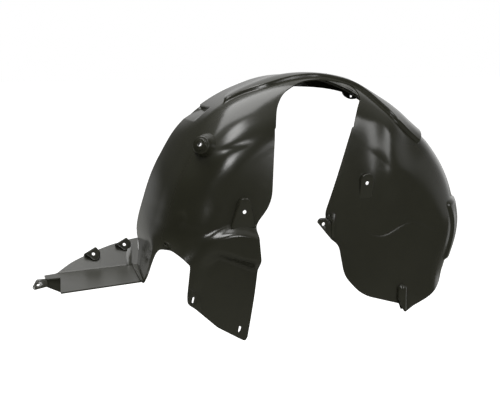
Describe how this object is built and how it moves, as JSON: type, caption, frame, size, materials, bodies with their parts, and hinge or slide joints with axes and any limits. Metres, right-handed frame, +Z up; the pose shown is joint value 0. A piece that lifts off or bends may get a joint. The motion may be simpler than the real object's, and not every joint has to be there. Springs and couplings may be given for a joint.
{
  "type": "wheel arch liner",
  "caption": "Black moulded plastic inner wing liner of a front wheel, with a deep domed arch open for the strut, screw pads and a forward tray.",
  "frame": {"origin": "centre of the wheel on its middle plane, with the car at rest", "axes": "+X to the rear of the car, +Y to its outer side, +Z up"},
  "size_m": [0.9522, 0.2811, 0.5517],
  "materials": {
    "shell": "fine grained black polypropylene with a soft sheen"
  },
  "bodies": {
    "root": {"arch_liner": "shell"}
  },
  "joints": []
}
